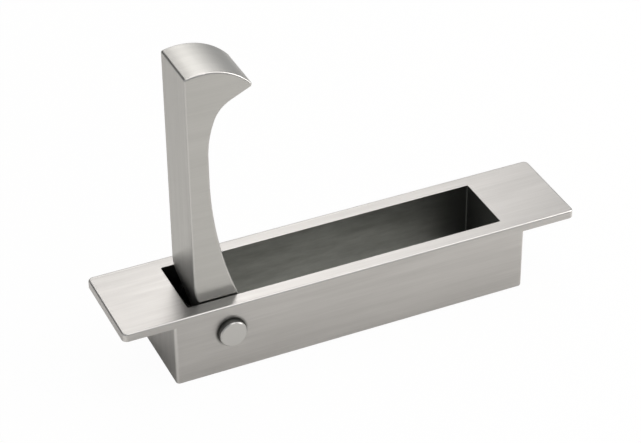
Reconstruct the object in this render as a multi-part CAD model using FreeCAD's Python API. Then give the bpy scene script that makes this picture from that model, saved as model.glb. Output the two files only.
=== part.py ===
import FreeCAD, Part
import os
from math import acos, atan2, cos, degrees, pi, radians, sin, sqrt

# Recessed pull handle, in millimetres.
# A long face plate and the open box below it are one piece. A hooked lever turns on a headed pin
# that crosses the box near one end. It is modelled standing upright, and it folds down through a
# right angle towards +X, where its back lies level with the plate.
# The origin is on the flat bottom of the box, under the middle of the plate. +X points away from
# the pin's end, +Y away from the pin's head, +Z up out of the pocket.

# Face plate and box
PLATE_LENGTH = 120.0
PLATE_WIDTH = 25.0
PLATE_THICKNESS = 2.1
PLATE_CORNER_RADIUS = 1.4
PLATE_EDGE_FILLET = 0.5
PIN_END_FLANGE = 12.6
FREE_END_FLANGE = 14.1
PIN_END_WALL = 5.0
FREE_END_WALL = 4.9
SIDE_WALL = 3.75
FLOOR_THICKNESS = 2.25
BOX_CORNER_RADIUS = 0.9
BOX_BOTTOM_FILLET = 0.4
POCKET_CORNER_RADIUS = 0.4
POCKET_FLOOR_FILLET = 0.3
POCKET_RIM_FILLET = 0.15

# Pivot: the lever's back is as far from the pin's axis as the plate's face is, so it folds flush
PIVOT_DEPTH = 7.35
HEEL_RADIUS = 8.6
HEEL_CLEARANCE = 0.8
PIN_RADIUS = 2.5
PIN_RUNNING_GAP = 0.05
PIN_HEAD_RADIUS = 3.45
PIN_HEAD_HEIGHT = 1.7
PIN_HEAD_CHAMFER = 0.25
PIN_TIP_CHAMFER = 0.4

# On the pin: a thin washer by the near wall, a thick one and the wave spring by the far wall
WASHER_RADIUS = 5.4
NEAR_WASHER_THICKNESS = 0.35
FAR_WASHER_THICKNESS = 1.75
WASHER_CHAMFER = 0.1
WASHER_BORE_GAP = 0.1
SIDE_RUNNING_GAP = 0.05
SPRING_HEIGHT = 0.9
SPRING_STRIP_THICKNESS = 0.3
SPRING_RIM = 0.5
SPRING_WAVES = 3
SPRING_SEAT_GAP = 0.01

# Lever, seen from the side: depths from its flat back, heights from the pin's axis
END_GAP = 4.81
WAIST_DEPTH = 5.15
WAIST_STRAIGHT = 5.87
EYE_FRONT = 6.73
HOOK_REACH = 16.64
TIP_DROP = 5.49
TOP_ARC_RADIUS = 15.57
TIP_REST_GAP = 0.1
UNDERSIDE_SLOPE = 25.2
THROAT_RADIUS = 8.0
SWEEP_RADIUS = 26.0
SWEEP_TURN = 21.3
PRESS_START = 10.2
PRESS_SLOPE = 16.0
PRESS_BLEND = 16.0
HEEL_CORNER_RADIUS = 1.2
BACK_CORNER_RADIUS = 0.6
TIP_RADIUS = 0.7
LEVER_EDGE_FILLET = 0.5

# Worked out from the sizes above
POCKET_WIDTH = PLATE_WIDTH - 2 * SIDE_WALL
POCKET_LENGTH = PLATE_LENGTH - PIN_END_FLANGE - PIN_END_WALL - FREE_END_WALL - FREE_END_FLANGE
POCKET_START = -PLATE_LENGTH / 2 + PIN_END_FLANGE + PIN_END_WALL
POCKET_DEPTH = max(HOOK_REACH + TIP_REST_GAP, PIVOT_DEPTH + HEEL_RADIUS + HEEL_CLEARANCE)
BODY_HEIGHT = POCKET_DEPTH + FLOOR_THICKNESS
LEVER_NEAR_Y = -POCKET_WIDTH / 2 + NEAR_WASHER_THICKNESS + SIDE_RUNNING_GAP
LEVER_FAR_Y = POCKET_WIDTH / 2 - SPRING_HEIGHT - FAR_WASHER_THICKNESS - SIDE_RUNNING_GAP
PIVOT_X = POCKET_START + HEEL_CLEARANCE + HEEL_RADIUS
PIVOT_Z = BODY_HEIGHT - PIVOT_DEPTH
BACK_X = PIVOT_X - PIVOT_DEPTH
BACK_HEIGHT = POCKET_LENGTH - HEEL_CLEARANCE - HEEL_RADIUS - END_GAP
PLATE_TOP = BODY_HEIGHT

TOLERANCE = 1e-3
ALONG_Y = FreeCAD.Vector(0, 1, 0)


def rounded_rectangle(x_start, x_end, width, radius, z):
    """A flat face with round corners, centred on Y, at height z."""
    half = width / 2
    block = Part.makeBox(x_end - x_start, width, 1.0, FreeCAD.Vector(x_start, -half, z))
    uprights = [edge for edge in block.Edges if abs(edge.tangentAt(edge.FirstParameter).z) > 0.5]
    rounded = block.makeFillet(radius, uprights)
    bottoms = [face for face in rounded.Faces if face.BoundBox.ZMax < z + TOLERANCE]
    return bottoms[0]


def edges_at_height(shape, z, x_low, x_high, y_limit):
    """The edges that lie flat at height z, within the given reach along X and Y."""
    found = []
    for edge in shape.Edges:
        box = edge.BoundBox
        level = abs(box.ZMin - z) < TOLERANCE and abs(box.ZMax - z) < TOLERANCE
        inside = box.XMin > x_low - TOLERANCE and box.XMax < x_high + TOLERANCE
        if level and inside and max(abs(box.YMin), abs(box.YMax)) < y_limit + TOLERANCE:
            found.append(edge)
    return found


def recess_body():
    """Face plate and box in one piece, with the open pocket and the pin's two holes."""
    half = PLATE_LENGTH / 2
    plate_face = rounded_rectangle(-half, half, PLATE_WIDTH, PLATE_CORNER_RADIUS,
                                   PLATE_TOP - PLATE_THICKNESS)
    plate = plate_face.extrude(FreeCAD.Vector(0, 0, PLATE_THICKNESS))
    plate_rim = edges_at_height(plate, PLATE_TOP, -half, half, PLATE_WIDTH / 2)
    plate = plate.makeFillet(PLATE_EDGE_FILLET, plate_rim)

    box_start = -half + PIN_END_FLANGE
    box_end = half - FREE_END_FLANGE
    box_face = rounded_rectangle(box_start, box_end, PLATE_WIDTH, BOX_CORNER_RADIUS, 0)
    box = box_face.extrude(FreeCAD.Vector(0, 0, PLATE_TOP - PLATE_THICKNESS / 2))
    box = box.makeFillet(BOX_BOTTOM_FILLET, edges_at_height(box, 0, box_start, box_end, PLATE_WIDTH))
    body = plate.fuse(box).removeSplitter()

    pocket_end = POCKET_START + POCKET_LENGTH
    pocket_face = rounded_rectangle(POCKET_START, pocket_end, POCKET_WIDTH,
                                    POCKET_CORNER_RADIUS, FLOOR_THICKNESS)
    pocket = pocket_face.extrude(FreeCAD.Vector(0, 0, POCKET_DEPTH + PLATE_THICKNESS))
    pocket_floor = edges_at_height(pocket, FLOOR_THICKNESS, POCKET_START, pocket_end, PLATE_WIDTH)
    body = body.cut(pocket.makeFillet(POCKET_FLOOR_FILLET, pocket_floor))
    pocket_rim = edges_at_height(body, PLATE_TOP, POCKET_START, pocket_end, POCKET_WIDTH / 2)
    body = body.makeFillet(POCKET_RIM_FILLET, pocket_rim)
    return body.cut(cross_cylinder(PIN_RADIUS, -PLATE_WIDTH, PLATE_WIDTH))


def cross_cylinder(radius, y_start, y_end):
    """A cylinder about the pin's axis, from y_start to y_end."""
    return Part.makeCylinder(radius, y_end - y_start, FreeCAD.Vector(PIVOT_X, y_start, PIVOT_Z), ALONG_Y)


def turned(profile):
    """A solid turned about the pin's axis from (radius, y) points."""
    points = [FreeCAD.Vector(PIVOT_X + radius, y, PIVOT_Z) for radius, y in profile]
    face = Part.Face(Part.makePolygon(points + points[:1]))
    return face.revolve(FreeCAD.Vector(PIVOT_X, 0, PIVOT_Z), ALONG_Y, 360)


def pivot_pin():
    """Headed pin: the head stands on the near wall, the tip ends level with the far wall."""
    near = -PLATE_WIDTH / 2
    far = PLATE_WIDTH / 2
    head_top = near - PIN_HEAD_HEIGHT
    return turned([
        (0, head_top),
        (PIN_HEAD_RADIUS - PIN_HEAD_CHAMFER, head_top),
        (PIN_HEAD_RADIUS, head_top + PIN_HEAD_CHAMFER),
        (PIN_HEAD_RADIUS, near),
        (PIN_RADIUS, near),
        (PIN_RADIUS, far - PIN_TIP_CHAMFER),
        (PIN_RADIUS - PIN_TIP_CHAMFER, far),
        (0, far),
    ])


def washer(y_start, thickness):
    """Flat friction washer on the pin, with broken outer edges."""
    y_end = y_start + thickness
    bore = PIN_RADIUS + WASHER_BORE_GAP
    return turned([
        (bore, y_start),
        (WASHER_RADIUS - WASHER_CHAMFER, y_start),
        (WASHER_RADIUS, y_start + WASHER_CHAMFER),
        (WASHER_RADIUS, y_end - WASHER_CHAMFER),
        (WASHER_RADIUS - WASHER_CHAMFER, y_end),
        (bore, y_end),
    ])


def near_washer():
    """Thin washer between the near wall and the lever."""
    return washer(-POCKET_WIDTH / 2, NEAR_WASHER_THICKNESS)


def far_washer():
    """Thick washer between the lever and the wave spring."""
    return washer(LEVER_FAR_Y + SIDE_RUNNING_GAP, FAR_WASHER_THICKNESS)


def wave_edge(radius, y_middle):
    """Closed curve round the pin that waves to and fro along Y."""
    swing = (SPRING_HEIGHT - SPRING_STRIP_THICKNESS) / 2 - SPRING_SEAT_GAP
    steps = 16 * SPRING_WAVES
    points = []
    for step in range(steps):
        turn = 2 * pi * step / steps
        y = y_middle + swing * cos(SPRING_WAVES * turn)
        points.append(FreeCAD.Vector(PIVOT_X + radius * cos(turn), y, PIVOT_Z + radius * sin(turn)))
    curve = Part.BSplineCurve()
    curve.interpolate(points, PeriodicFlag=True)
    return curve.toShape()


def wave_spring():
    """Wave spring washer: a flat strip bent into three waves, pressing the far washer inwards."""
    middle = POCKET_WIDTH / 2 - SPRING_HEIGHT / 2
    half_strip = SPRING_STRIP_THICKNESS / 2
    inner = PIN_RADIUS + SPRING_RIM
    outer = WASHER_RADIUS - SPRING_RIM
    corners = [(inner, -half_strip), (outer, -half_strip), (outer, half_strip), (inner, half_strip)]
    edges = [wave_edge(radius, middle + offset) for radius, offset in corners]
    faces = [Part.makeRuledSurface(edges[i], edges[(i + 1) % len(edges)]) for i in range(len(edges))]
    shell = Part.Shell([face for faces_of_edge in faces for face in faces_of_edge.Faces])
    solid = Part.Solid(shell)
    if solid.Volume < 0:
        solid.reverse()
    return solid


def at(depth, height, y=0.0):
    """A point of the lever, by its depth from the back and its height above the pin's axis."""
    return FreeCAD.Vector(BACK_X + depth, y, PIVOT_Z + height)


def arc_between(start, end, centre, clockwise):
    """The arc from start to end about centre, each given as (depth, height)."""
    radius = sqrt((start[0] - centre[0]) ** 2 + (start[1] - centre[1]) ** 2)
    first = atan2(start[1] - centre[1], start[0] - centre[0])
    last = atan2(end[1] - centre[1], end[0] - centre[0])
    if clockwise and last > first:
        last -= 2 * pi
    if not clockwise and last < first:
        last += 2 * pi
    half_way = (first + last) / 2
    middle = (centre[0] + radius * cos(half_way), centre[1] + radius * sin(half_way))
    return Part.Arc(at(*start), at(*middle), at(*end)).toShape()


def line_between(start, end):
    """The straight edge from start to end, each given as (depth, height)."""
    return Part.makeLine(at(*start), at(*end))


def press_slope_foot():
    """Where the finger slope leaves the heel's circle below the pin."""
    slope = radians(PRESS_SLOPE)
    along = PIVOT_DEPTH * sin(slope) + PRESS_START * cos(slope)
    square = PIVOT_DEPTH ** 2 + PRESS_START ** 2 - HEEL_RADIUS ** 2
    length = along + sqrt(along ** 2 - square)
    return (length * sin(slope), PRESS_START - length * cos(slope))


def heel_front(front_centre, front_radius):
    """Where the hollow front meets the heel's circle, below the pin on the front side."""
    across = front_centre[0] - PIVOT_DEPTH
    up = front_centre[1]
    distance = sqrt(across ** 2 + up ** 2)
    reach = (distance ** 2 + HEEL_RADIUS ** 2 - front_radius ** 2) / (2 * distance * HEEL_RADIUS)
    turn = atan2(up, across) - acos(reach)
    return (PIVOT_DEPTH + HEEL_RADIUS * cos(turn), HEEL_RADIUS * sin(turn))


def top_arc_centre(back_corner, tip):
    """Centre of the domed top, which runs from the back corner to the hook's tip."""
    across = tip[0] - back_corner[0]
    drop = back_corner[1] - tip[1]
    chord = sqrt(across ** 2 + drop ** 2)
    depth = sqrt(TOP_ARC_RADIUS ** 2 - (chord / 2) ** 2)
    middle = ((back_corner[0] + tip[0]) / 2, (back_corner[1] + tip[1]) / 2)
    return (middle[0] - depth * drop / chord, middle[1] - depth * across / chord)


def lever_outline():
    """The lever's closed side outline, and its sharp corners with the radius that rounds each."""
    back_corner = (0, BACK_HEIGHT)
    tip = (HOOK_REACH, BACK_HEIGHT - TIP_DROP)

    # The hook's inner side, from the waist up: a slow sweep, a tight throat, a straight underside
    steep = radians(SWEEP_TURN)
    flat = radians(90 - UNDERSIDE_SLOPE)
    sweep_rise = SWEEP_RADIUS * sin(steep)
    sweep_depth = SWEEP_RADIUS * (1 - cos(steep))
    throat_rise = THROAT_RADIUS * (sin(flat) - sin(steep))
    throat_depth = THROAT_RADIUS * (cos(steep) - cos(flat))
    throat_end_depth = WAIST_DEPTH + sweep_depth + throat_depth
    throat_end = (throat_end_depth, tip[1] - (HOOK_REACH - throat_end_depth) / sin(flat) * cos(flat))
    throat_start = (throat_end[0] - throat_depth, throat_end[1] - throat_rise)
    sweep_start = (WAIST_DEPTH, throat_start[1] - sweep_rise)
    throat_centre = (throat_end[0] + THROAT_RADIUS * cos(flat), throat_end[1] - THROAT_RADIUS * sin(flat))
    sweep_centre = (WAIST_DEPTH + SWEEP_RADIUS, sweep_start[1])

    # The hollow front, tangent to the waist, as wide as the eye at the pin's height
    waist_foot = (WAIST_DEPTH, sweep_start[1] - WAIST_STRAIGHT)
    widening = PIVOT_DEPTH + EYE_FRONT - WAIST_DEPTH
    front_radius = (widening ** 2 + waist_foot[1] ** 2) / (2 * widening)
    front_centre = (WAIST_DEPTH + front_radius, waist_foot[1])
    heel_start = heel_front(front_centre, front_radius)
    slope_foot = press_slope_foot()
    slope_top = (0, PRESS_START)

    edges = [
        arc_between(back_corner, tip, top_arc_centre(back_corner, tip), clockwise=True),
        line_between(tip, throat_end),
        arc_between(throat_end, throat_start, throat_centre, clockwise=False),
        arc_between(throat_start, sweep_start, sweep_centre, clockwise=False),
        line_between(sweep_start, waist_foot),
        arc_between(waist_foot, heel_start, front_centre, clockwise=False),
        arc_between(heel_start, slope_foot, (PIVOT_DEPTH, 0), clockwise=True),
        line_between(slope_foot, slope_top),
        line_between(slope_top, back_corner),
    ]
    corners = [
        (back_corner, BACK_CORNER_RADIUS),
        (tip, TIP_RADIUS),
        (heel_start, HEEL_CORNER_RADIUS),
        (slope_foot, HEEL_CORNER_RADIUS),
        (slope_top, PRESS_BLEND),
    ]
    return Part.Wire(edges), corners


def edge_through(shape, corner):
    """The edge across the lever that passes through a corner of its outline."""
    middle = Part.Vertex(at(*corner))
    return min(shape.Edges, key=lambda edge: edge.distToShape(middle)[0] + edge.BoundBox.XLength
               + edge.BoundBox.ZLength)


def pull_lever():
    """The lever: its outline carried across its width, corners rounded, sides eased, bored."""
    outline, corners = lever_outline()
    outline.translate(FreeCAD.Vector(0, LEVER_NEAR_Y, 0))
    lever = Part.Face(outline).extrude(FreeCAD.Vector(0, LEVER_FAR_Y - LEVER_NEAR_Y, 0))
    for corner, radius in corners:
        lever = lever.makeFillet(radius, [edge_through(lever, corner)])
    side_edges = [edge for edge in lever.Edges if edge.BoundBox.YLength < TOLERANCE]
    lever = lever.makeFillet(LEVER_EDGE_FILLET, side_edges)
    return lever.cut(cross_cylinder(PIN_RADIUS + PIN_RUNNING_GAP, -PLATE_WIDTH, PLATE_WIDTH))


PIECES = {
    "recess_body": recess_body,
    "pull_lever": pull_lever,
    "pivot_pin": pivot_pin,
    "near_washer": near_washer,
    "far_washer": far_washer,
    "wave_spring": wave_spring,
}


def lean_back_limit():
    """How far past upright the lever leans before its finger slope meets the pocket's rim."""
    slope = radians(PRESS_SLOPE)
    plane = PIVOT_DEPTH * cos(slope) - PRESS_START * sin(slope)
    rim = (PIVOT_X - POCKET_START, PIVOT_DEPTH)
    rim_turn = atan2(rim[1], -rim[0])
    rim_distance = sqrt(rim[0] ** 2 + rim[1] ** 2)
    return degrees(rim_turn + acos(plane / rim_distance) - pi - slope)


def main():
    os.makedirs("parts", exist_ok=True)
    for name, build in PIECES.items():
        shape = build()
        shape.exportStep(os.path.join("parts", name + ".step"))
        box = shape.BoundBox
        print(f"{name}: {len(shape.Solids)} solid, {shape.Volume:.1f} mm3, valid {shape.isValid()},",
              f"X {box.XMin:.2f} {box.XMax:.2f}, Y {box.YMin:.2f} {box.YMax:.2f},",
              f"Z {box.ZMin:.2f} {box.ZMax:.2f}")
    print(f"pin axis at X {PIVOT_X:.2f}, Z {PIVOT_Z:.2f}; leans back to {lean_back_limit():.2f} degrees")


main()
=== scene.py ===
"""Looks of a recessed pull handle: brushed steel face plate, open box and hooked lever.

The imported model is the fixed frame. This script dresses its pieces, and sets a pale floor, soft
studio light and a camera at the photograph's viewing angle. Lengths are in millimetres where a
name says so, and in metres elsewhere.
"""

import logging
import math
from dataclasses import dataclass, field, replace
from enum import Enum
from typing import Any

import bpy
import numpy as np
from mathutils import Matrix, Vector

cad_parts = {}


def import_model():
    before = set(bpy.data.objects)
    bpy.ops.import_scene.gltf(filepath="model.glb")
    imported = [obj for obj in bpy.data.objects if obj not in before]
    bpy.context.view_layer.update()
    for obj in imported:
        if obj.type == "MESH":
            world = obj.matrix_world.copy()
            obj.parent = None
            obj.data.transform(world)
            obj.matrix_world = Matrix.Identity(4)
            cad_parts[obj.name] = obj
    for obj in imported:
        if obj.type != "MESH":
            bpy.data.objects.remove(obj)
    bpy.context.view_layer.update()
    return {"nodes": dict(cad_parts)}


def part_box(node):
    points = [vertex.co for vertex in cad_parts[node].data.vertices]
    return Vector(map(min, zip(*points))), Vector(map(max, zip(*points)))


MM = 0.001

# Width of the photograph, in which the focal length is given
IMAGE_WIDTH_PX = 641

# A noise's values seldom pass the first pair, and most lie inside the second
NOISE_LOW, NOISE_HIGH = 0.32, 0.68
NOISE_CORE_LOW, NOISE_CORE_HIGH = 0.35, 0.65

# A Wave texture's rings repeat at this many metres over its scale
WAVE_PERIOD = 0.314

# Turns x (1 - x), which is a quarter at its highest, into a share from 0 to 1
EDGE_GAIN = 4.0

Vector3 = tuple[float, float, float]
Link = tuple[bpy.types.Node, str]
Links = dict[str, Link]

log = logging.getLogger("handle")


class EasedEdges(Enum):
    """Which edges of a steel piece the painted edge highlight follows.

    The value is the share of the edges between ends and top or bottom; a piece with a curved
    profile has none of those, because its curves would look like edges.
    """

    ALL_ROUND = 1.0
    ALONG_THE_PROFILE = 0.0


def linear(hex_colour: str) -> tuple[float, float, float, float]:
    """Turn an sRGB hex colour into linear RGBA, by the sRGB curve.

    Args:
        hex_colour: Six hex digits after a hash.

    Returns:
        Red, green, blue and an alpha of 1.
    """
    parts = [int(hex_colour[i:i + 2], 16) / 255 for i in (1, 3, 5)]
    curve = [c / 12.92 if c <= 0.04045 else ((c + 0.055) / 1.055) ** 2.4 for c in parts]
    return (curve[0], curve[1], curve[2], 1.0)


def direction(azimuth: float, elevation: float) -> Vector:
    """Point from the object to a place in the room.

    It is (cos azimuth cos elevation, sin azimuth cos elevation, sin elevation).

    Args:
        azimuth: Degrees from +X towards +Y.
        elevation: Degrees above the floor.

    Returns:
        The direction, one long.
    """
    turn, rise = math.radians(azimuth), math.radians(elevation)
    return Vector((math.cos(turn) * math.cos(rise), math.sin(turn) * math.cos(rise),
                   math.sin(rise)))


def add_node(tree: bpy.types.NodeTree, kind: str, settings: dict[str, Any] | None = None,
             links: Links | None = None) -> bpy.types.Node:
    """Add one node with its settings and the links into it.

    Args:
        tree: The node tree that gets the node.
        kind: Blender's name of the node's type.
        settings: Values by name; a name that is an attribute of the node is set there, and any
            other is the name or number of an input socket.
        links: Input socket's name or number, as text, to (node, output socket's name).

    Returns:
        The new node.
    """
    node = tree.nodes.new(kind)
    for name, value in (settings or {}).items():
        if hasattr(node, name):
            setattr(node, name, value)
        else:
            node.inputs[int(name) if name.isdigit() else name].default_value = value
    for name, (source, output) in (links or {}).items():
        socket = node.inputs[int(name) if name.isdigit() else name]
        tree.links.new(source.outputs[int(output) if output.isdigit() else output], socket)
    return node


def new_material(name: str) -> tuple[bpy.types.Material, bpy.types.NodeTree]:
    """Make an empty node material and return it with its tree."""
    material = bpy.data.materials.new(name)
    material.use_nodes = True
    material.node_tree.nodes.clear()
    return material, material.node_tree


@dataclass(frozen=True)
class MilledPocketAndShade:
    """The pocket's walls and floor: milled steel that is left unbrushed, so it is duller.

    The eye sees broad, dim reflections with soft clouds where the cutter passed, and painted
    shade, darker towards both ends and the floor. The painted shade starts a set share of the
    way from the pocket's middle to its ends.
    """

    low_mm: Vector3
    high_mm: Vector3
    colour: str = "#DDDEDB"
    dark_colour: str = "#BFC0BD"
    # Colour of the painted shade towards the pocket's ends and floor
    painted_shade_colour: str = "#858684"
    shade_from_share: float = 0.62
    shade_top_mm: float = 12.0
    shade_low_mm: float = 2.0
    low_shade_share: float = 0.42
    roughness: float = 0.38
    cloud_length_mm: float = 12.0
    cloud_pitch_mm: float = 2.5

    def unit(self, tree: bpy.types.NodeTree, coordinates: bpy.types.Node) -> bpy.types.Node:
        """Measure each point from the pocket's middle, as |2 (p - middle) / size|.

        Args:
            tree: The material's tree.
            coordinates: The texture coordinate node.

        Returns:
            A node whose X, Y and Z are at most 1 inside the pocket.
        """
        sizes = [(high - low) * MM for low, high in zip(self.low_mm, self.high_mm)]
        middles = [(high + low) / 2 * MM for low, high in zip(self.low_mm, self.high_mm)]
        unit = add_node(tree, "ShaderNodeMapping",
                        {"Location": [-2 * m / s for m, s in zip(middles, sizes)],
                         "Scale": [2 / s for s in sizes]},
                        {"Vector": (coordinates, "Object")})
        size = add_node(tree, "ShaderNodeVectorMath", {"operation": "ABSOLUTE"},
                        {"0": (unit, "Vector")})
        return add_node(tree, "ShaderNodeSeparateXYZ", links={"Vector": (size, "Vector")})

    def inside(self, tree: bpy.types.NodeTree, unit: bpy.types.Node) -> bpy.types.Node:
        """Find the pocket: the points where no part of the measure is over 1.

        Args:
            tree: The material's tree.
            unit: The measure from the pocket's middle.

        Returns:
            A node whose Value is 1 inside the pocket and 0 elsewhere.
        """
        level = add_node(tree, "ShaderNodeMath", {"operation": "MAXIMUM"},
                         {"0": (unit, "X"), "1": (unit, "Y")})
        most = add_node(tree, "ShaderNodeMath", {"operation": "MAXIMUM"},
                        {"0": (level, "Value"), "1": (unit, "Z")})
        return add_node(tree, "ShaderNodeMath", {"operation": "LESS_THAN", "1": 1.0},
                        {"0": (most, "Value")})

    def over(self, tree: bpy.types.NodeTree, coordinates: bpy.types.Node,
             colour: Link, roughness: Link) -> tuple[Link, Link]:
        """Lay the milled finish and its painted shade over another one, inside the pocket only.

        Args:
            tree: The material's tree.
            coordinates: The texture coordinate node.
            colour: The other finish's colour, as a node and its output.
            roughness: The other finish's roughness, as a node and its output.

        Returns:
            The colour and the roughness of both together.
        """
        unit = self.unit(tree, coordinates)
        inside = self.inside(tree, unit)
        along, across = 1 / (self.cloud_length_mm * MM), 1 / (self.cloud_pitch_mm * MM)
        stretched = add_node(tree, "ShaderNodeMapping", {"Scale": (along, across, across)},
                             {"Vector": (coordinates, "Object")})
        clouds = add_node(tree, "ShaderNodeTexNoise",
                          {"Scale": 1.0, "Detail": 4.0, "Roughness": 0.65},
                          {"Vector": (stretched, "Vector")})
        tone = add_node(tree, "ShaderNodeMapRange",
                        {"From Min": NOISE_LOW, "From Max": NOISE_HIGH},
                        {"Value": (clouds, "Fac")})
        steel = add_node(tree, "ShaderNodeMix",
                         {"data_type": "RGBA", "6": linear(self.dark_colour),
                          "7": linear(self.colour)},
                         {"0": (tone, "Result")})
        # Painted shade: darker towards both ends of the pocket
        end_shade = add_node(tree, "ShaderNodeMapRange",
                        {"interpolation_type": "SMOOTHSTEP", "From Min": self.shade_from_share,
                         "From Max": 1.0},
                        {"Value": (unit, "X")})
        place = add_node(tree, "ShaderNodeSeparateXYZ", links={"Vector": (coordinates, "Object")})
        # Painted shade: darker towards the pocket's floor
        low_shade = add_node(tree, "ShaderNodeMapRange",
                        {"From Min": self.shade_top_mm * MM, "From Max": self.shade_low_mm * MM,
                         "To Max": self.low_shade_share},
                        {"Value": (place, "Z")})
        painted_shade = add_node(tree, "ShaderNodeMath", {"operation": "MAXIMUM"},
                       {"0": (end_shade, "Result"), "1": (low_shade, "Result")})
        # The milled colour darkened by the painted shade
        shaded_steel = add_node(tree, "ShaderNodeMix",
                         {"data_type": "RGBA", "7": linear(self.painted_shade_colour)},
                         {"0": (painted_shade, "Value"), "6": (steel, "2")})
        mixed = add_node(tree, "ShaderNodeMix", {"data_type": "RGBA"},
                         {"0": (inside, "Value"), "6": colour, "7": (shaded_steel, "2")})
        gloss = add_node(tree, "ShaderNodeMix", {"data_type": "FLOAT", "3": self.roughness},
                         {"0": (inside, "Value"), "2": roughness})
        return (mixed, "2"), (gloss, "0")


@dataclass(frozen=True)
class PinHeadPaintedShade:
    """Painted shade round the pin's head, where it meets the near side.

    The eye sees a soft dark ring of painted shade that fades outwards from the head.
    """

    middle_mm: Vector3
    start_mm: float
    reach_mm: float = 0.95
    side_mm: float = -10.0
    # Colour of the painted shade round the pin's head
    colour: str = "#4C4D4A"

    def over(self, tree: bpy.types.NodeTree, coordinates: bpy.types.Node, colour: Link) -> Link:
        """Lay the ring of painted shade over a colour, on the near side only.

        Args:
            tree: The material's tree.
            coordinates: The texture coordinate node.
            colour: The other finish's colour, as a node and its output.

        Returns:
            The colour of both together.
        """
        x, _, z = self.middle_mm
        centred = add_node(tree, "ShaderNodeMapping",
                           {"Location": (-x * MM, 0.0, -z * MM), "Scale": (1.0, 0.0, 1.0)},
                           {"Vector": (coordinates, "Object")})
        radius = add_node(tree, "ShaderNodeVectorMath", {"operation": "LENGTH"},
                          {"0": (centred, "Vector")})
        ring = add_node(tree, "ShaderNodeMapRange",
                        {"interpolation_type": "SMOOTHSTEP", "From Min": self.start_mm * MM,
                         "From Max": (self.start_mm + self.reach_mm) * MM, "To Min": 1.0,
                         "To Max": 0.0},
                        {"Value": (radius, "Value")})
        place = add_node(tree, "ShaderNodeSeparateXYZ", links={"Vector": (coordinates, "Object")})
        near = add_node(tree, "ShaderNodeMath",
                        {"operation": "LESS_THAN", "1": self.side_mm * MM}, {"0": (place, "Y")})
        share = add_node(tree, "ShaderNodeMath", {"operation": "MULTIPLY"},
                         {"0": (ring, "Result"), "1": (near, "Value")})
        mixed = add_node(tree, "ShaderNodeMix", {"data_type": "RGBA", "7": linear(self.colour)},
                         {"0": (share, "Value"), "6": colour})
        return mixed, "2"


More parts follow.
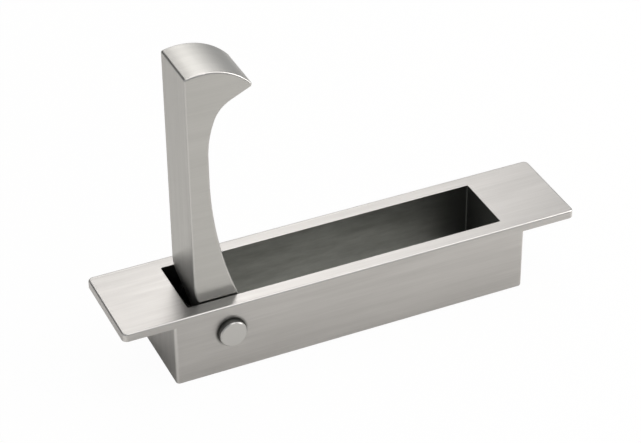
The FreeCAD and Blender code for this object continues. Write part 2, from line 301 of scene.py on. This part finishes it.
@dataclass(frozen=True)
class BrushedSteel:
    """Satin stainless steel, belt-brushed one way, with a painted highlight along its edges.

    The eye sees soft, smeared reflections, with faint hairlines and clouds along the grain. The
    sides are brushed along X, and every other face along its profile, square to Y. The hairlines
    are drawn coarser than real ones, which would be too fine to show.
    """

    name: str
    colour: str = "#C6C5C3"
    dark_colour: str = "#B9B8B6"
    roughness: float = 0.33
    roughness_spread: float = 0.03
    line_pitch_mm: float = 0.3
    line_length_mm: float = 26.0
    cloud_pitch_mm: float = 2.6
    cloud_length_mm: float = 34.0
    cloud_share: float = 0.68
    bump_mm: float = 0.002
    bump_strength: float = 0.2
    anisotropy: float = 0.8
    side_from: float = 0.7
    edges: EasedEdges = EasedEdges.ALL_ROUND
    # Lighter colour of the painted highlight on the eased edges
    edge_highlight_colour: str = "#D8D7D5"
    edge_roughness: float = 0.3
    milled_and_shade: MilledPocketAndShade | None = None
    pin_shade: PinHeadPaintedShade | None = None

    def sideways(self, tree: bpy.types.NodeTree, normal: bpy.types.Node) -> bpy.types.Node:
        """Tell the sides from the other faces.

        Args:
            tree: The material's tree.
            normal: A node whose X, Y and Z are the face's normal in the object's axes.

        Returns:
            A node whose Value is 1 where the face looks along Y, and 0 elsewhere.
        """
        size = add_node(tree, "ShaderNodeMath", {"operation": "ABSOLUTE"}, {"0": (normal, "Y")})
        return add_node(tree, "ShaderNodeMath",
                        {"operation": "GREATER_THAN", "1": self.side_from},
                        {"0": (size, "Value")})

    def streaks(self, tree: bpy.types.NodeTree, coordinates: bpy.types.Node,
                side: bpy.types.Node, pitch_mm: float, length_mm: float) -> bpy.types.Node:
        """Noise stretched along the grain.

        Args:
            tree: The material's tree.
            coordinates: The texture coordinate node.
            side: A node whose Value is 1 on the sides.
            pitch_mm: Width of a streak across the grain.
            length_mm: Length of a streak along it.

        Returns:
            A noise node whose Fac holds the streaks.
        """
        across, along = 1 / (pitch_mm * MM), 1 / (length_mm * MM)
        scale = add_node(tree, "ShaderNodeMix",
                         {"data_type": "VECTOR", "4": (along, across, along),
                          "5": (along, across, across)},
                         {"0": (side, "Value")})
        stretched = add_node(tree, "ShaderNodeVectorMath", {"operation": "MULTIPLY"},
                             {"0": (coordinates, "Object"), "1": (scale, "1")})
        return add_node(tree, "ShaderNodeTexNoise",
                        {"Scale": 1.0, "Detail": 3.0, "Roughness": 0.6},
                        {"Vector": (stretched, "Vector")})

    def edge_highlight(self, tree: bpy.types.NodeTree, normal: bpy.types.Node) -> bpy.types.Node:
        """Find the eased edges that get the painted highlight, where the normal lies between two
        axes.

        The mask is 4 y2 (1 - y2) + 4 s x2 z2, where x2, y2 and z2 are the squares of the
        normal's parts and s is the share that the edges setting gives.

        Args:
            tree: The material's tree.
            normal: A node whose X, Y and Z are the face's normal in the object's axes.

        Returns:
            A node whose Value runs from 0 on the faces to 1 in the middle of an edge.
        """
        squares = [add_node(tree, "ShaderNodeMath", {"operation": "MULTIPLY"},
                            {"0": (normal, axis), "1": (normal, axis)}) for axis in "XYZ"]
        rest = add_node(tree, "ShaderNodeMath", {"operation": "SUBTRACT", "0": 1.0},
                        {"1": (squares[1], "Value")})
        long_edges = add_node(tree, "ShaderNodeMath", {"operation": "MULTIPLY"},
                              {"0": (squares[1], "Value"), "1": (rest, "Value")})
        end_edges = add_node(tree, "ShaderNodeMath", {"operation": "MULTIPLY"},
                             {"0": (squares[0], "Value"), "1": (squares[2], "Value")})
        both = add_node(tree, "ShaderNodeMath",
                        {"operation": "MULTIPLY_ADD", "1": self.edges.value},
                        {"0": (end_edges, "Value"), "2": (long_edges, "Value")})
        return add_node(tree, "ShaderNodeMath",
                        {"operation": "MULTIPLY", "use_clamp": True, "1": EDGE_GAIN},
                        {"0": (both, "Value")})

    def grain(self, tree: bpy.types.NodeTree, coordinates: bpy.types.Node,
              side: bpy.types.Node) -> bpy.types.Node:
        """Find the way of the brushing: X on the sides, elsewhere Y crossed with the normal.

        Args:
            tree: The material's tree.
            coordinates: The texture coordinate node.
            side: A node whose Value is 1 on the sides.

        Returns:
            A node whose Vector is the grain's direction in the world.
        """
        profile = add_node(tree, "ShaderNodeVectorMath",
                           {"operation": "CROSS_PRODUCT", "0": (0.0, 1.0, 0.0)},
                           {"1": (coordinates, "Normal")})
        way = add_node(tree, "ShaderNodeMix", {"data_type": "VECTOR", "5": (1.0, 0.0, 0.0)},
                       {"0": (side, "Value"), "4": (profile, "Vector")})
        return add_node(tree, "ShaderNodeVectorTransform",
                        {"vector_type": "VECTOR", "convert_from": "OBJECT",
                         "convert_to": "WORLD"},
                        {"Vector": (way, "1")})

    def material(self) -> bpy.types.Material:
        """Build the material.

        Returns:
            The finished material.
        """
        material, tree = new_material(self.name)
        coordinates = add_node(tree, "ShaderNodeTexCoord")
        normal = add_node(tree, "ShaderNodeSeparateXYZ", links={"Vector": (coordinates, "Normal")})
        side = self.sideways(tree, normal)
        edge_highlight = self.edge_highlight(tree, normal)
        lines = self.streaks(tree, coordinates, side, self.line_pitch_mm, self.line_length_mm)
        clouds = self.streaks(tree, coordinates, side, self.cloud_pitch_mm, self.cloud_length_mm)
        both = add_node(tree, "ShaderNodeMix", {"data_type": "FLOAT", "0": self.cloud_share},
                        {"2": (lines, "Fac"), "3": (clouds, "Fac")})
        tone = add_node(tree, "ShaderNodeMapRange",
                        {"From Min": NOISE_LOW, "From Max": NOISE_HIGH},
                        {"Value": (both, "0")})
        colour = add_node(tree, "ShaderNodeMix",
                          {"data_type": "RGBA", "6": linear(self.dark_colour),
                           "7": linear(self.colour)},
                          {"0": (tone, "Result")})
        # Painted highlight: the eased edges take a lighter colour
        highlighted = add_node(tree, "ShaderNodeMix",
                          {"data_type": "RGBA", "7": linear(self.edge_highlight_colour)},
                          {"0": (edge_highlight, "Value"), "6": (colour, "2")})
        gloss = add_node(tree, "ShaderNodeMapRange",
                         {"From Min": NOISE_CORE_LOW, "From Max": NOISE_CORE_HIGH,
                          "To Min": self.roughness + self.roughness_spread,
                          "To Max": self.roughness - self.roughness_spread},
                         {"Value": (lines, "Fac")})
        edge_gloss = add_node(tree, "ShaderNodeMix",
                                {"data_type": "FLOAT", "3": self.edge_roughness},
                                {"0": (edge_highlight, "Value"), "2": (gloss, "Result")})
        paint, dullness = (highlighted, "2"), (edge_gloss, "0")
        if self.milled_and_shade:
            paint, dullness = self.milled_and_shade.over(tree, coordinates, paint, dullness)
        # Painted shade round the pin's head, over the body's colour
        if self.pin_shade:
            paint = self.pin_shade.over(tree, coordinates, paint)
        bump = add_node(tree, "ShaderNodeBump",
                        {"Strength": self.bump_strength, "Distance": self.bump_mm * MM},
                        {"Height": (lines, "Fac")})
        shader = add_node(tree, "ShaderNodeBsdfPrincipled",
                          {"Metallic": 1.0, "Anisotropic": self.anisotropy},
                          {"Base Color": paint, "Roughness": dullness,
                           "Normal": (bump, "Normal"),
                           "Tangent": (self.grain(tree, coordinates, side), "Vector")})
        add_node(tree, "ShaderNodeOutputMaterial", links={"Surface": (shader, "BSDF")})
        return material


@dataclass(frozen=True)
class TurnedSteel:
    """Bright steel, face-turned on a lathe: smooth, with faint rings round the pin's axis.

    The eye sees a clear, bright face. The turned side is darker, which is painted shade.
    """

    name: str = "turned_steel"
    colour: str = "#C6C6C4"
    # Darker colour of the side: painted shade
    pin_side_shade_colour: str = "#868684"
    roughness: float = 0.28
    ring_pitch_mm: float = 0.25
    ring_depth_mm: float = 0.004
    bump_strength: float = 0.15
    face_from: float = 0.5
    axis_mm: Vector3 = (0.0, 0.0, 0.0)

    def material(self) -> bpy.types.Material:
        """Build the material.

        Returns:
            The finished material, with its rings centred on the pin's axis.
        """
        material, tree = new_material(self.name)
        coordinates = add_node(tree, "ShaderNodeTexCoord")
        centred = add_node(tree, "ShaderNodeMapping",
                           {"Location": [-c * MM for c in self.axis_mm]},
                           {"Vector": (coordinates, "Object")})
        rings = add_node(tree, "ShaderNodeTexWave",
                         {"wave_type": "RINGS", "rings_direction": "Y",
                          "Scale": WAVE_PERIOD / (self.ring_pitch_mm * MM), "Distortion": 0.4,
                          "Detail": 1.0},
                         {"Vector": (centred, "Vector")})
        bump = add_node(tree, "ShaderNodeBump",
                        {"Strength": self.bump_strength, "Distance": self.ring_depth_mm * MM},
                        {"Height": (rings, "Fac")})
        normal = add_node(tree, "ShaderNodeSeparateXYZ", links={"Vector": (coordinates, "Normal")})
        level = add_node(tree, "ShaderNodeMath", {"operation": "ABSOLUTE"}, {"0": (normal, "Y")})
        face = add_node(tree, "ShaderNodeMath",
                        {"operation": "GREATER_THAN", "1": self.face_from},
                        {"0": (level, "Value")})
        # The side takes the darker colour of the painted shade, the face the bright one
        colour = add_node(tree, "ShaderNodeMix",
                          {"data_type": "RGBA", "6": linear(self.pin_side_shade_colour),
                           "7": linear(self.colour)},
                          {"0": (face, "Value")})
        shader = add_node(tree, "ShaderNodeBsdfPrincipled",
                          {"Metallic": 1.0, "Roughness": self.roughness},
                          {"Base Color": (colour, "2"), "Normal": (bump, "Normal")})
        add_node(tree, "ShaderNodeOutputMaterial", links={"Surface": (shader, "BSDF")})
        return material


@dataclass(frozen=True)
class BlackNylon:
    """Moulded black nylon.

    The eye sees a dark, dull plastic with the fine tooth of its mould.
    """

    name: str = "black_nylon"
    colour: str = "#1C1C1D"
    roughness: float = 0.55
    roughness_spread: float = 0.08
    tooth_mm: float = 0.3
    tooth_depth_mm: float = 0.02
    bump_strength: float = 0.2

    def material(self) -> bpy.types.Material:
        """Build the material.

        Returns:
            The finished material.
        """
        material, tree = new_material(self.name)
        coordinates = add_node(tree, "ShaderNodeTexCoord")
        tooth = add_node(tree, "ShaderNodeTexNoise",
                         {"Scale": 1 / (self.tooth_mm * MM), "Detail": 2.0},
                         {"Vector": (coordinates, "Object")})
        gloss = add_node(tree, "ShaderNodeMapRange",
                         {"To Min": self.roughness - self.roughness_spread,
                          "To Max": self.roughness + self.roughness_spread},
                         {"Value": (tooth, "Fac")})
        bump = add_node(tree, "ShaderNodeBump",
                        {"Strength": self.bump_strength, "Distance": self.tooth_depth_mm * MM},
                        {"Height": (tooth, "Fac")})
        shader = add_node(tree, "ShaderNodeBsdfPrincipled",
                          {"Base Color": linear(self.colour), "IOR": 1.53},
                          {"Roughness": (gloss, "Result"), "Normal": (bump, "Normal")})
        add_node(tree, "ShaderNodeOutputMaterial", links={"Surface": (shader, "BSDF")})
        return material


@dataclass
class RecessAssembly:
    """Face plate and box, with the pin, washers and wave spring that it carries.

    The pocket's two corners lie a little way into the metal of its walls and floor, and just
    under its rim.
    """

    pocket_low_mm: Vector3 = (-42.55, -8.9, 2.0)
    pocket_high_mm: Vector3 = (41.15, 8.9, 18.8)
    body_finish: BrushedSteel = field(
        default_factory=lambda: BrushedSteel("brushed_steel_plate"))
    spring_finish: BrushedSteel = field(default_factory=lambda: BrushedSteel(
        "rolled_spring_steel", colour="#9C9A96", dark_colour="#908E8A", roughness=0.3))
    washer_finish: BlackNylon = field(default_factory=BlackNylon)

    def dress(self, nodes: dict[str, bpy.types.Object]) -> list[bpy.types.Object]:
        """Give each piece of the recess its finish.

        Args:
            nodes: The frame's pieces by name.

        Returns:
            The pieces that were dressed.
        """
        low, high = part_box("pivot_pin")
        axis = ((low.x + high.x) / 2 / MM, 0.0, (low.z + high.z) / 2 / MM)
        body = replace(self.body_finish,
                       milled_and_shade=MilledPocketAndShade(self.pocket_low_mm, self.pocket_high_mm),
                       pin_shade=PinHeadPaintedShade(axis, (high.x - low.x) / 2 / MM))
        washer = self.washer_finish.material()
        finishes = {
            "recess_body": body.material(),
            "pivot_pin": TurnedSteel(axis_mm=axis).material(),
            "near_washer": washer,
            "far_washer": washer,
            "wave_spring": self.spring_finish.material(),
        }
        return [wear(nodes[name], finish) for name, finish in finishes.items()]


@dataclass
class LeverAssembly:
    """The lever that is pulled."""

    finish: BrushedSteel = field(default_factory=lambda: BrushedSteel(
        "brushed_steel_lever", colour="#C4C4C1", dark_colour="#BCBCB9",
        edges=EasedEdges.ALONG_THE_PROFILE))

    def dress(self, nodes: dict[str, bpy.types.Object]) -> list[bpy.types.Object]:
        """Give the lever its finish.

        Args:
            nodes: The frame's pieces by name.

        Returns:
            The lever, in a list.
        """
        return [wear(nodes["pull_lever"], self.finish.material())]


def wear(piece: bpy.types.Object, finish: bpy.types.Material) -> bpy.types.Object:
    """Put one finish on every material slot of a piece and return the piece."""
    for slot in piece.material_slots:
        slot.material = finish
    return piece


@dataclass(frozen=True)
class Softbox:
    """One rectangular studio light that faces the object, with its sizes in metres."""

    name: str
    azimuth: float
    elevation: float
    distance: float
    width: float
    height: float
    radiance: float
    colour: str = "#FFFBF8"

    def build(self, target: Vector) -> bpy.types.Object:
        """Place the light on a sphere round the target, facing it.

        The place is target + distance times direction, and the power is radiance times pi
        times the area.

        Args:
            target: The point that the light faces.

        Returns:
            The light's object.
        """
        way = direction(self.azimuth, self.elevation)
        data = bpy.data.lights.new(self.name, "AREA")
        data.shape = "RECTANGLE"
        data.size, data.size_y = self.width, self.height
        data.color = linear(self.colour)[:3]
        data.energy = self.radiance * math.pi * self.width * self.height
        light = bpy.data.objects.new(self.name, data)
        light.location = target + way * self.distance
        light.rotation_euler = way.to_track_quat("Z", "Y").to_euler()
        light.visible_camera = False
        bpy.context.scene.collection.objects.link(light)
        return light


@dataclass
class Studio:
    """Pale floor, soft light and the camera."""

    floor_radius: float = 0.3
    floor_rings: int = 8
    floor_spokes: int = 48
    floor_colour: str = "#F6F5F3"
    floor_knockout: float = 0.97
    world_radiance: float = 0.395
    dark_radiance: float = 0.1
    dark_azimuth: float = 114.0
    dark_elevation: float = 30.0
    dark_from: float = 0.8
    dark_full: float = 0.95
    target_mm: Vector3 = (0.568, 10.005, 19.0)
    camera_distance_mm: float = 553.5
    camera_azimuth: float = -24.255
    camera_elevation: float = 35.135
    camera_roll: float = -0.535
    focal_px: float = 2229.9
    lights: tuple[Softbox, ...] = (
        Softbox("back_softbox", azimuth=71.0, elevation=48.0, distance=0.8,
                width=0.24, height=0.41, radiance=2.4),
        Softbox("side_softbox", azimuth=90.0, elevation=42.0, distance=0.8,
                width=0.21, height=0.54, radiance=0.9),
        Softbox("low_softbox", azimuth=73.0, elevation=26.5, distance=0.8,
                width=0.65, height=0.17, radiance=0.6),
        Softbox("high_softbox", azimuth=66.0, elevation=72.0, distance=1.4,
                width=0.7, height=0.35, radiance=2.5),
        Softbox("top_softbox", azimuth=-50.0, elevation=64.0, distance=1.4,
                width=1.3, height=1.0, radiance=1.42),
        Softbox("right_softbox", azimuth=-15.0, elevation=28.0, distance=0.4,
                width=0.26, height=0.26, radiance=2.7),
    )

    def floor(self) -> bpy.types.Object:
        """Build the floor, a disc of rings: each point is radius times (cos turn, sin turn, 0).

        Returns:
            The floor's object.
        """
        radii = np.linspace(0.0, 1.0, self.floor_rings + 1)[1:] ** 2 * self.floor_radius
        turns = np.linspace(0.0, 2 * np.pi, self.floor_spokes + 1)[:-1]
        ring, turn = np.meshgrid(radii, turns, indexing="ij")
        points = np.stack([ring * np.cos(turn), ring * np.sin(turn), np.zeros_like(ring)], -1)
        count = self.floor_spokes
        first = np.arange(count)
        after = (first + 1) % count
        quads = [np.stack([first + r * count, first + (r + 1) * count,
                           after + (r + 1) * count, after + r * count], -1)
                 for r in range(len(radii) - 1)]
        mesh = bpy.data.meshes.new("floor")
        mesh.from_pydata(points.reshape(-1, 3).tolist(), [],
                         [first.tolist()] + np.concatenate(quads).tolist())
        floor = bpy.data.objects.new("floor", mesh)
        bpy.context.scene.collection.objects.link(floor)
        mesh.materials.append(self.floor_material())
        return floor

    def floor_material(self) -> bpy.types.Material:
        """Matt white studio paper, knocked out towards pure white where it is seen directly.

        Returns:
            The finished material.
        """
        material, tree = new_material("studio_paper")
        paper = add_node(tree, "ShaderNodeBsdfDiffuse", {"Color": linear(self.floor_colour)})
        glow = add_node(tree, "ShaderNodeEmission",
                        {"Color": (1.0, 1.0, 1.0, 1.0), "Strength": 1.0})
        path = add_node(tree, "ShaderNodeLightPath")
        share = add_node(tree, "ShaderNodeMath", {"operation": "MULTIPLY", "1": self.floor_knockout},
                         {"0": (path, "Is Camera Ray")})
        seen = add_node(tree, "ShaderNodeMixShader", {},
                        {"0": (share, "Value"), "1": (paper, "BSDF"), "2": (glow, "Emission")})
        add_node(tree, "ShaderNodeOutputMaterial", links={"Surface": (seen, "Shader")})
        return material

    def world(self) -> bpy.types.World:
        """Soft light from all round with one dark side, and white where it is seen directly.

        The dark side is a cone round one direction: dark_from and dark_full are the cosines of
        the angles where it starts and where it is full.

        Returns:
            The world.
        """
        world = bpy.data.worlds.new("studio")
        world.use_nodes = True
        tree = world.node_tree
        tree.nodes.clear()
        coordinates = add_node(tree, "ShaderNodeTexCoord")
        near = add_node(tree, "ShaderNodeVectorMath",
                        {"operation": "DOT_PRODUCT",
                         "1": direction(self.dark_azimuth, self.dark_elevation)},
                        {"0": (coordinates, "Generated")})
        room = add_node(tree, "ShaderNodeMapRange",
                        {"interpolation_type": "SMOOTHSTEP", "From Min": self.dark_from,
                         "From Max": self.dark_full, "To Min": self.world_radiance,
                         "To Max": self.dark_radiance},
                        {"Value": (near, "Value")})
        path = add_node(tree, "ShaderNodeLightPath")
        strength = add_node(tree, "ShaderNodeMapRange", {"To Max": 1.0},
                            {"Value": (path, "Is Camera Ray"), "To Min": (room, "Result")})
        light = add_node(tree, "ShaderNodeBackground", {"Color": (1.0, 1.0, 1.0, 1.0)},
                         {"Strength": (strength, "Result")})
        add_node(tree, "ShaderNodeOutputWorld", links={"Surface": (light, "Background")})
        bpy.context.scene.world = world
        return world

    def camera(self) -> bpy.types.Object:
        """Set the camera on a sphere round its target, at the photograph's viewing angle.

        Returns:
            The camera's object.
        """
        turn, rise = math.radians(self.camera_azimuth), math.radians(self.camera_elevation)
        back = Vector((math.sin(turn) * math.cos(rise), -math.cos(turn) * math.cos(rise),
                       math.sin(rise)))
        data = bpy.data.cameras.new("camera")
        data.lens = self.focal_px / IMAGE_WIDTH_PX * data.sensor_width
        camera = bpy.data.objects.new("camera", data)
        place = (Vector(self.target_mm) + back * self.camera_distance_mm) * MM
        facing = (-back).to_track_quat("-Z", "Y").to_matrix().to_4x4()
        roll = Matrix.Rotation(math.radians(self.camera_roll), 4, "Z")
        camera.matrix_world = Matrix.Translation(place) @ facing @ roll
        bpy.context.scene.collection.objects.link(camera)
        bpy.context.scene.camera = camera
        return camera

    def build(self) -> None:
        """Set up the floor, the lights, the camera and plain colour handling."""
        self.camera()
        self.floor()
        self.world()
        for light in self.lights:
            light.build(Vector(self.target_mm) * MM)
        bpy.context.scene.view_settings.view_transform = "Standard"


def main() -> None:
    """Load the frame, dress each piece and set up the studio."""
    logging.basicConfig(level=logging.INFO, format="%(message)s")
    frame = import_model()
    Studio().build()
    for assembly in (RecessAssembly(), LeverAssembly()):
        for piece in assembly.dress(frame["nodes"]):
            log.info("%s wears %s", piece.name, piece.material_slots[0].material.name)


if __name__ == "__main__":
    main()
